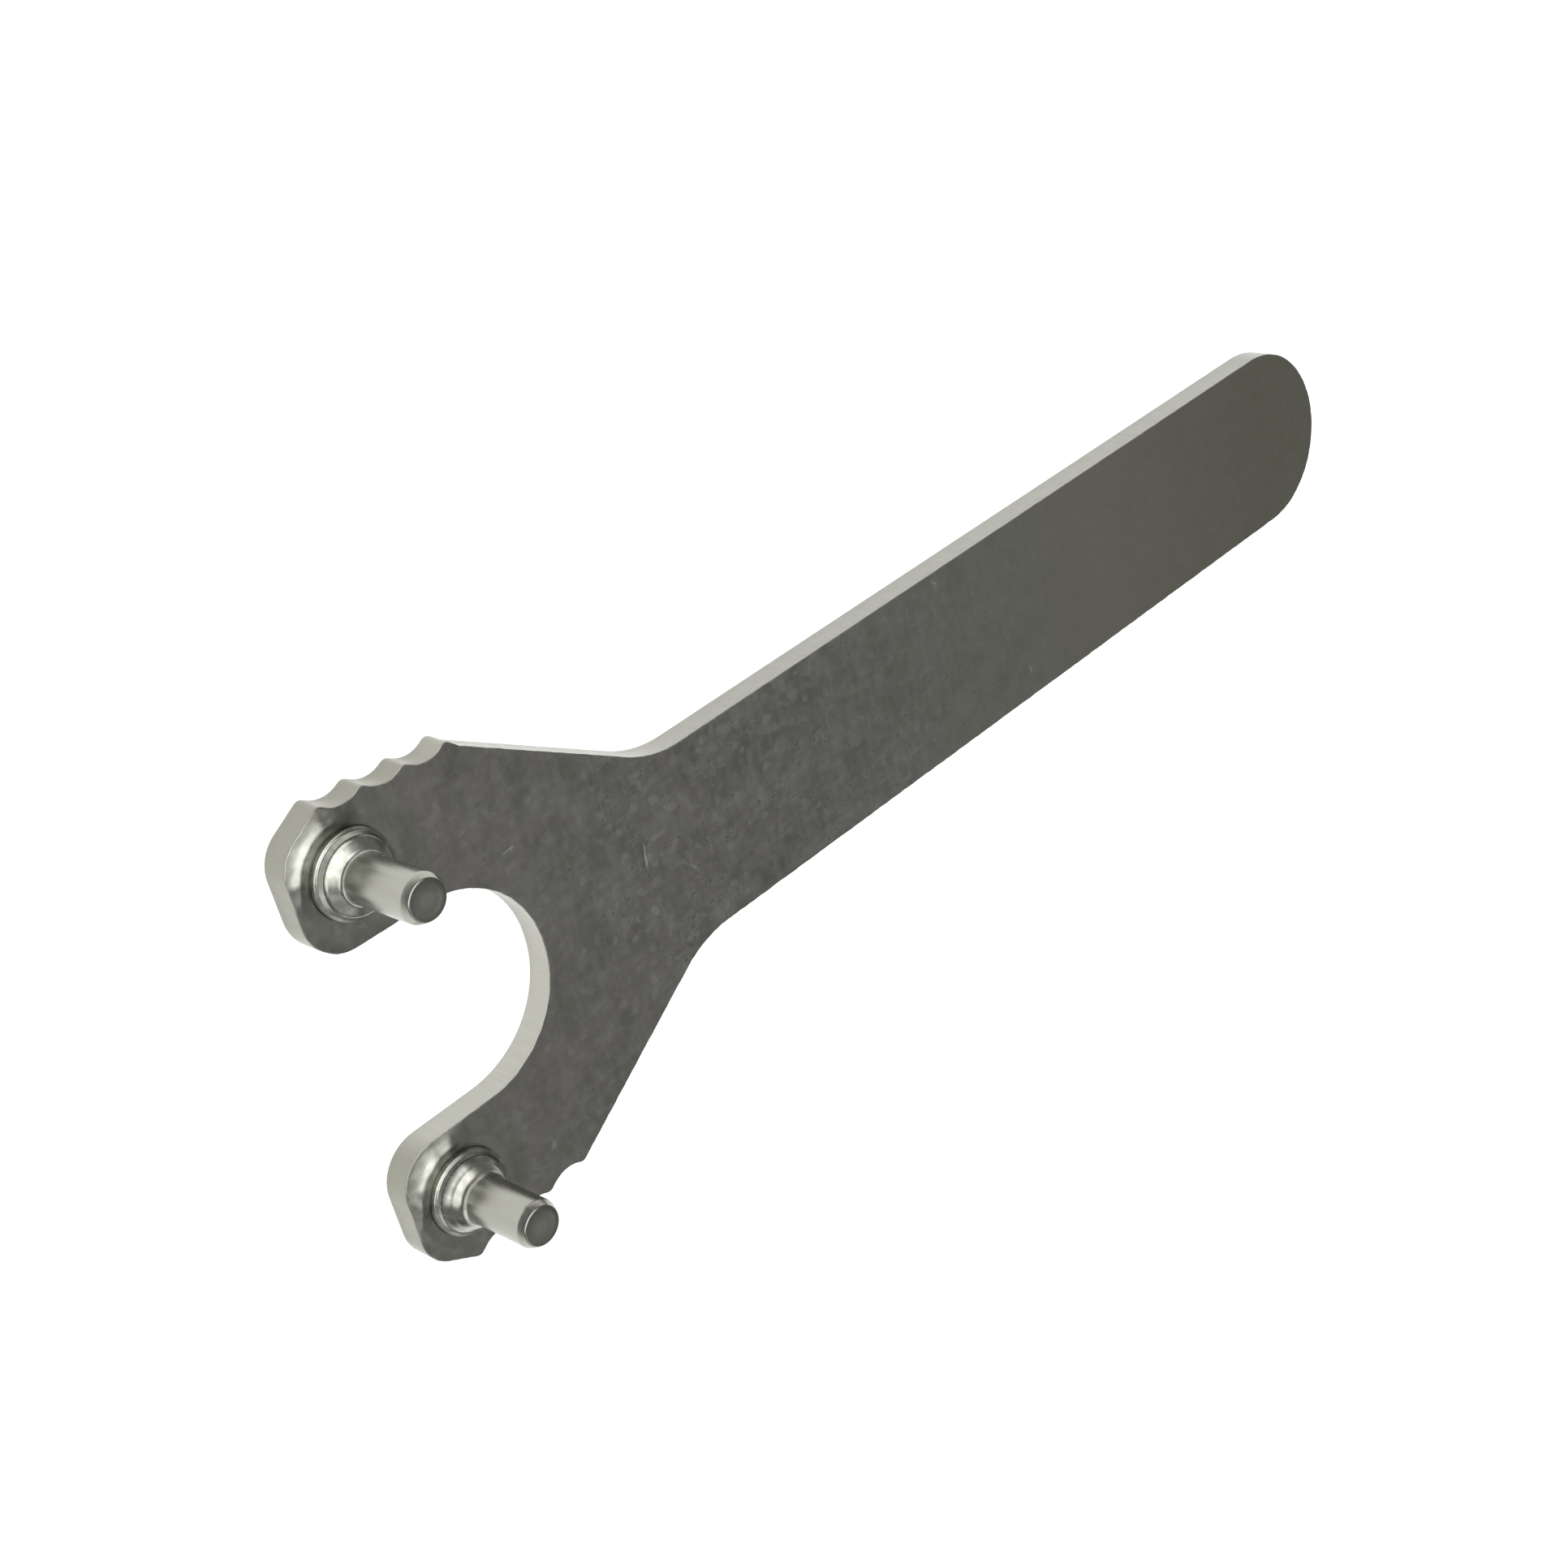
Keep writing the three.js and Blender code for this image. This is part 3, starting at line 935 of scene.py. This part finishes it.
def pit_masks(n, bent, worked):
    """Masks of the small pits, which lie in clusters, and of the bright rims round them."""
    drawn = n.add("ShaderNodeMapping", Vector=bent)
    drawn.inputs["Scale"].default_value = (1.0, 1.7, 1.0)
    drawn.inputs["Rotation"].default_value = (0, 0, 0.6)
    flat = {"voronoi_dimensions": "2D"}
    cells = n.add("ShaderNodeTexVoronoi", flat, Vector=drawn.outputs["Vector"], Scale=620.0)
    chance = n.add("ShaderNodeSeparateColor", Color=cells.outputs["Color"])
    picked = n.remap(chance.outputs["Red"], 0.52, 0.54)
    clusters = n.remap(n.noise(n.coordinates(turn=1.7), 170, 1), 0.44, 0.56)
    picked = n.math("MULTIPLY", n.math("MULTIPLY", picked, clusters), worked)
    size = n.remap(chance.outputs["Green"], 0.0, 1.0, 0.06, 0.3)
    away = n.math("DIVIDE", cells.outputs["Distance"], size)
    pit = n.math("MULTIPLY", n.remap(away, 1.0, 0.5), picked)
    rim = n.math("MULTIPLY", n.remap(away, 1.8, 1.1), picked)
    return pit, rim


def hairline_mask(n, worked):
    """Fine scratches in two directions."""
    lengthways = n.remap(n.drawn_noise((420, 3000, 60), 0.5, 1), 0.7, 0.8)
    crossways = n.remap(n.drawn_noise((2600, 420, 60), 0.15, 1), 0.68, 0.8)
    return n.math("MULTIPLY", n.math("MAXIMUM", lengthways, crossways), worked)


def scratch_colours(n, colour, place):
    for x, y, half_length, bearing, half_width, strength in SCRATCHES:
        mapping = n.add("ShaderNodeMapping", {"vector_type": "TEXTURE"}, Vector=place)
        mapping.inputs["Location"].default_value = ((PIN_X + x) * MM, y * MM, 0)
        mapping.inputs["Rotation"].default_value = (0, 0, math.radians(bearing))
        spread = n.add("ShaderNodeSeparateXYZ", Vector=mapping.outputs["Vector"])
        lengthways = n.math("ABSOLUTE", spread.outputs["X"], 0.0)
        sideways = n.math("ABSOLUTE", spread.outputs["Y"], 0.0)
        scratch = n.remap(lengthways, half_length * MM, 0.4 * half_length * MM, 0.0, strength)
        width = n.remap(sideways, half_width * MM, 0.4 * half_width * MM)
        colour = n.mix(n.math("MULTIPLY", scratch, width), colour, SCRATCH_COLOUR)
    return colour


def plated_sheet():
    """Dull plating: cloudy, with pale chips, pits, stains and scratches, calmer along the handle."""
    n = Nodes("plated_sheet")
    place = n.coordinates()
    parts = n.add("ShaderNodeSeparateXYZ", Vector=place)
    x, y = parts.outputs["X"], parts.outputs["Y"]
    # The middle of the tool is worked over the most, the arms less and the handle hardly at all.
    worked = ramp_along(n, x, 95, 55, 0.12, 1.0)
    worked = n.math("MULTIPLY", worked, ramp_along(n, x, 10, 28, 0.55, 1.0))
    clouds = n.noise(place, 60, 2)
    tint = n.noise(n.coordinates(turn=1.0), 90, 1)
    grain = n.noise(place, 1500, 2)
    colour = n.mix(n.remap(clouds, 0.3, 0.7), PLATING_DARK, PLATING_LIGHT)
    colour = n.mix(n.remap(tint, 0.52, 0.68, 0, 0.75), colour, PLATING_GREEN)
    for start, end, shade in HANDLE_TONES:
        colour = n.mix(ramp_along(n, x, start, end), colour, shade)
    colour = n.mix(n.remap(grain, 0.3, 0.7, 0, 0.15), colour, GRAIN_COLOUR)
    colour = seat_colours(n, colour, x, y)
    colour = stain_colours(n, colour, x, y)
    colour = mottle_colours(n, colour, worked)
    bent = bent_place(n, place)
    chips = chip_mask(n, bent, clouds, worked)
    colour = n.mix(n.math("MULTIPLY", chips, 0.42), colour, RUBBED_COLOUR)
    pit, rim = pit_masks(n, bent, worked)
    colour = n.mix(n.math("MULTIPLY", rim, 0.32), colour, PIT_RIM_COLOUR)
    colour = n.mix(n.math("MULTIPLY", pit, 0.45), colour, PIT_COLOUR)
    hairlines = hairline_mask(n, worked)
    colour = n.mix(n.math("MULTIPLY", hairlines, 0.45), colour, LINE_COLOUR)
    colour = scratch_colours(n, colour, place)
    rough = n.remap(grain, 0.3, 0.7, 0.29, 0.33)
    rough = n.math("ADD", rough, n.math("MULTIPLY", chips, 0.05))
    height = n.math("SUBTRACT", n.math("MULTIPLY", grain, 0.6), pit)
    height = n.math("SUBTRACT", height, n.math("MULTIPLY", hairlines, 0.4))
    return n.metal(colour, rough, n.bump(height, 0.3, 0.04 * MM))


# Colours of the punched edge.
EDGE_COLOUR = (0.366, 0.365, 0.33, 1)
EDGE_HANDLE_COLOUR = (0.284, 0.283, 0.257, 1)
EDGE_STREAK_COLOUR = (0.32, 0.319, 0.29, 1)
# Painted shade on the walls at the arm tips, and the darker walls along the scallops.
EDGE_SHADE_AND_SCALLOP_COLOUR = (0.25, 0.249, 0.213, 1)


def sheared_edge():
    """The plate's punched edge, with fine upright streaks, darker along the scallops and with painted shade
    on its walls at the arm tips.
    """
    n = Nodes("sheared_edge")
    streaks = n.drawn_noise((2300, 2300, 160), roughness=0.6)
    grain = n.noise(n.coordinates(), 700)
    parts = n.add("ShaderNodeSeparateXYZ", Vector=n.coordinates())
    x = parts.outputs["X"]
    across = n.math("ABSOLUTE", parts.outputs["Y"], 0.0)
    scallops = ramp_along(n, x, 15.5, 10)
    scallops = n.math("MULTIPLY", scallops, n.remap(across, 15 * MM, 19 * MM))
    # Painted shade on the walls round the arm tips, joined with the darker walls along the scallops.
    tip_shade_and_scallops = n.math("MAXIMUM", scallops, ramp_along(n, x, -1, -4))
    colour = n.mix(ramp_along(n, x, 24, 42), EDGE_COLOUR, EDGE_HANDLE_COLOUR)
    streaked = n.math("MULTIPLY", n.remap(streaks, 0.3, 0.7), 0.5)
    colour = n.mix(streaked, colour, EDGE_STREAK_COLOUR)
    colour = n.mix(tip_shade_and_scallops, colour, EDGE_SHADE_AND_SCALLOP_COLOUR)
    rough = n.remap(grain, 0.3, 0.7, 0.26, 0.34)
    height = n.math("ADD", streaks, n.math("MULTIPLY", grain, 0.6))
    return n.metal(colour, rough, n.bump(height, 0.2, 0.05 * MM))


# Colours of the pins.
STEEL_DARK = (0.3, 0.3, 0.263, 1)
STEEL_LIGHT = (0.342, 0.342, 0.305, 1)
STEEL_RUBBED = (0.5, 0.5, 0.455, 1)
STEEL_DULL = (0.16, 0.16, 0.138, 1)
END_RIM_COLOUR = (0.24, 0.238, 0.21, 1)
END_MIDDLE_COLOUR = (0.52, 0.517, 0.475, 1)


def turned_steel():
    """Bright steel with the turning tool's rings round the pin and across its faces."""
    n = Nodes("turned_steel")
    parts = n.add("ShaderNodeSeparateXYZ", Vector=n.object_place())
    height = parts.outputs["Z"]
    radius = n.length(parts.outputs["X"], parts.outputs["Y"])
    along = n.math("ADD", height, radius)
    rings = n.add("ShaderNodeTexNoise", {"noise_dimensions": "1D"}, W=along, Scale=9000.0, Detail=3.0)
    smears = n.drawn_noise((500, 500, 90))
    colour = n.mix(n.remap(smears, 0.35, 0.65), STEEL_DARK, STEEL_LIGHT)
    # Rubbing marks run up the shaft from the shoulder and fade out.
    rubbed = n.drawn_noise((620, 620, 110), 0.9, 2)
    low_down = n.remap(height, (THICKNESS + 6.0) * MM, (THICKNESS + 3.0) * MM)
    low_down = n.math("MULTIPLY", low_down, n.remap(height, 0.5 * MM, THICKNESS * MM, 0.25, 1.0))
    lighter = n.math("MULTIPLY", n.remap(rubbed, 0.5, 0.64, 0, 0.75), low_down)
    darker = n.math("MULTIPLY", n.remap(rubbed, 0.48, 0.36, 0, 0.5), low_down)
    colour = n.mix(lighter, colour, STEEL_RUBBED)
    colour = n.mix(darker, colour, STEEL_DULL)
    # The end face is paler in its middle and darker at its rim.
    end = n.remap(height, (PIN_TIP_Z - 0.12) * MM, (PIN_TIP_Z - 0.04) * MM)
    faced = n.mix(n.remap(radius, 2.1 * MM, 0.6 * MM), END_RIM_COLOUR, END_MIDDLE_COLOUR)
    colour = n.mix(end, colour, faced)
    rough = n.remap(smears, 0.3, 0.7, 0.2, 0.3)
    return n.metal(colour, rough, n.bump(rings.outputs["Fac"], 0.08, 0.02 * MM))


FLOOR_DARK = (0.93, 0.93, 0.925, 1)
FLOOR_LIGHT = (0.95, 0.95, 0.945, 1)


def pale_floor():
    """A translucent white table, lit a little from below."""
    n = Nodes("pale_floor")
    colour = n.mix(n.noise(n.object_place(), 300), FLOOR_DARK, FLOOR_LIGHT)
    n.feed(n.shader, "Base Color", colour)
    n.feed(n.shader, "Roughness", 0.9)
    n.feed(n.shader, "Specular IOR Level", 0.1)
    n.feed(n.shader, "Emission Color", colour)
    n.feed(n.shader, "Emission Strength", 0.45)
    return n.material


# ---------------------------------------------------------------------------
# The object
# ---------------------------------------------------------------------------

sheet = plated_sheet()
edge = sheared_edge()
steel = turned_steel()

plate = build_plate([sheet, edge])
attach(plate, ROOT)
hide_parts("spanner_plate")

# Each pin: (CAD node, centre, seed of its tool rings, shoulder, strength of its tool rings).
PINS = (
    ("right_pin", PIN_CENTRES[0], 1.5, ((3.6, 1.5), (2.67, 2.0)), 0.006),
    ("left_pin", PIN_CENTRES[1], 4.5, ((3.68, 1.3), (3.1, 2.0), (2.67, 2.42)), 0.02),
)
for node, centre, seed, shoulder, strength in PINS:
    pin = build_pin(node + "_turned", centre, seed, shoulder, strength, [steel])
    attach(pin, ROOT)
    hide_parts(node)

# ---------------------------------------------------------------------------
# Floor, light and camera
# ---------------------------------------------------------------------------


FLOOR_HALF_SIZE = 3.0
FLOOR_DROP = 0.02 * MM


def build_floor():
    """A wide sheet just under the plate's back."""
    mesh = bpy.data.meshes.new("floor")
    signs = ((-1, -1), (1, -1), (1, 1), (-1, 1))
    corners = [(i * FLOOR_HALF_SIZE, j * FLOOR_HALF_SIZE, -FLOOR_DROP) for i, j in signs]
    mesh.from_pydata(corners, [], [(0, 1, 2, 3)])
    mesh.materials.append(pale_floor())
    floor = bpy.data.objects.new("floor", mesh)
    bpy.context.scene.collection.objects.link(floor)


# Soft lights: (name, width, height, radiance, azimuth, elevation), metres and degrees.
LIGHTS = (
    ("window_softbox", 3.2, 1.15, 2.5, 128, 55),
    ("ceiling_softbox", 0.95, 0.95, 1.35, 128, 88),
    ("fill_card", 1.2, 0.9, 0.6, -110, 38),
)
LIGHT_DISTANCE = 1.4
ROOM_COLOUR = (0.23, 0.23, 0.226, 1)


def soft_light(name, width, height, radiance, azimuth, elevation):
    """A rectangular area light on the given bearing that faces the object."""
    light = bpy.data.lights.new(name, "AREA")
    light.shape = "RECTANGLE"
    light.size = width
    light.size_y = height
    light.energy = radiance * math.pi * width * height
    lamp = bpy.data.objects.new(name, light)
    bearing = direction(azimuth, elevation)
    lamp.location = bearing * LIGHT_DISTANCE
    lamp.rotation_euler = bearing.to_track_quat("Z", "Y").to_euler()
    bpy.context.scene.collection.objects.link(lamp)


def direction(azimuth, elevation):
    """Unit vector towards a bearing; azimuth is counted from +X towards +Y, in degrees."""
    a, e = math.radians(azimuth), math.radians(elevation)
    return Vector((math.cos(e) * math.cos(a), math.cos(e) * math.sin(a), math.sin(e)))


# The camera's bearing and roll in degrees, its distance in metres, its lens and sensor in millimetres.
CAMERA_AZIMUTH = 139.71
CAMERA_ELEVATION = 43.73
CAMERA_ROLL = -105.69
CAMERA_DISTANCE = 0.24428
CAMERA_LENS = 55.91
CAMERA_SENSOR = 36
CAMERA_AIM = Vector((PIN_X + 48.5, -0.75, THICKNESS)) * MM


def build_camera():
    """The camera looks at CAMERA_AIM from its bearing and is rolled about its own axis."""
    scene = bpy.context.scene
    camera = bpy.data.cameras.new("camera")
    camera.lens = CAMERA_LENS
    camera.sensor_width = CAMERA_SENSOR
    camera.clip_start = 0.01
    obj = bpy.data.objects.new("camera", camera)
    back = direction(CAMERA_AZIMUTH, CAMERA_ELEVATION)
    right = Vector((0, 0, 1)).cross(back).normalized()
    up = back.cross(right)
    basis = Matrix((right, up, back)).transposed()
    roll = Matrix.Rotation(math.radians(-CAMERA_ROLL), 3, "Z")
    obj.matrix_world = Matrix.Translation(CAMERA_AIM + back * CAMERA_DISTANCE) @ (basis @ roll).to_4x4()
    scene.collection.objects.link(obj)
    scene.camera = obj


def build_world():
    """An even grey room round the soft lights."""
    world = bpy.data.worlds.new("studio")
    world.use_nodes = True
    background = world.node_tree.nodes["Background"]
    background.inputs["Color"].default_value = ROOM_COLOUR
    background.inputs["Strength"].default_value = 1.0
    bpy.context.scene.world = world


build_floor()
build_world()
for light_settings in LIGHTS:
    soft_light(*light_settings)
build_camera()
bpy.context.scene.view_settings.view_transform = "Standard"
